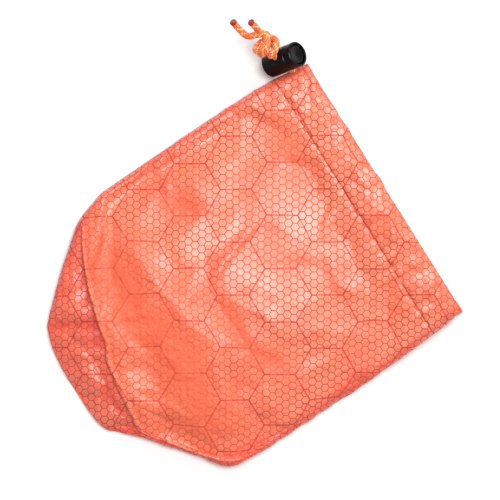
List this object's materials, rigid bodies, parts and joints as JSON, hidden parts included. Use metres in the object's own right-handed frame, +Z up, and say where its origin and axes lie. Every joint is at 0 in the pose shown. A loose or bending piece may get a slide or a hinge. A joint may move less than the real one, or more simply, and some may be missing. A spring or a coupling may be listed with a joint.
{
  "type": "stuff sack",
  "caption": "Small round-bottomed ripstop stuff sack with a drawcord channel at its mouth, a spring cord lock and a knotted cord end.",
  "frame": {"origin": "middle of the sack's footprint, on the surface it lies on; the cord and its lock are left out of this", "axes": "+X from the base to the mouth, +Y to the corner with the cord lock, +Z up, out of the lying sack"},
  "size_m": [0.1619, 0.1642, 0.022],
  "materials": {
    "coral_ripstop": "coated nylon ripstop with a honeycomb grid",
    "sewing_thread": "polyester sewing thread",
    "braided_cord": "braided cord with yellow flecks",
    "melted_cord_end": "melted cord fibre",
    "black_lock_plastic": "moulded, satin gloss",
    "spring_steel": "drawn wire"
  },
  "bodies": {
    "sack": {"body_panel": "coral_ripstop", "base_panel": "coral_ripstop", "channel_hem": "coral_ripstop", "base_seam_allowance": "coral_ripstop", "side_seam_allowance": "coral_ripstop", "channel_stitching": "sewing_thread", "base_seam_stitching": "sewing_thread", "side_seam_stitching": "sewing_thread", "exit_bar_tacks": "sewing_thread", "drawcord_in_channel": "braided_cord"},
    "lock": {"cord_lock_barrel": "black_lock_plastic", "cord_lock_spring": "spring_steel"},
    "plunger": {"cord_lock_plunger": "black_lock_plastic"},
    "pull": {"drawcord_through_lock": "braided_cord", "drawcord_knot": "braided_cord", "drawcord_tail_long": "braided_cord", "drawcord_tail_short": "braided_cord", "cord_tip_long": "melted_cord_end", "cord_tip_short": "melted_cord_end"}
  },
  "joints": [
    {"name": "lock_slide", "type": "slide", "parent": "sack", "child": "lock", "axis": [-0.3104, 0.7977, 0.517], "range_m": [0, 0.05]},
    {"name": "cord_draw", "type": "slide", "parent": "lock", "child": "pull", "axis": [-0.3104, 0.7977, 0.517], "range_m": [0, 0.05]},
    {"name": "plunger_press", "type": "slide", "parent": "lock", "child": "plunger", "axis": [-0.7123, 0.1651, -0.6822], "range_m": [0, 0.003], "stiffness_N_per_m": 400, "springref_m": -0.002, "deforming": ["cord_lock_spring"]}
  ]
}
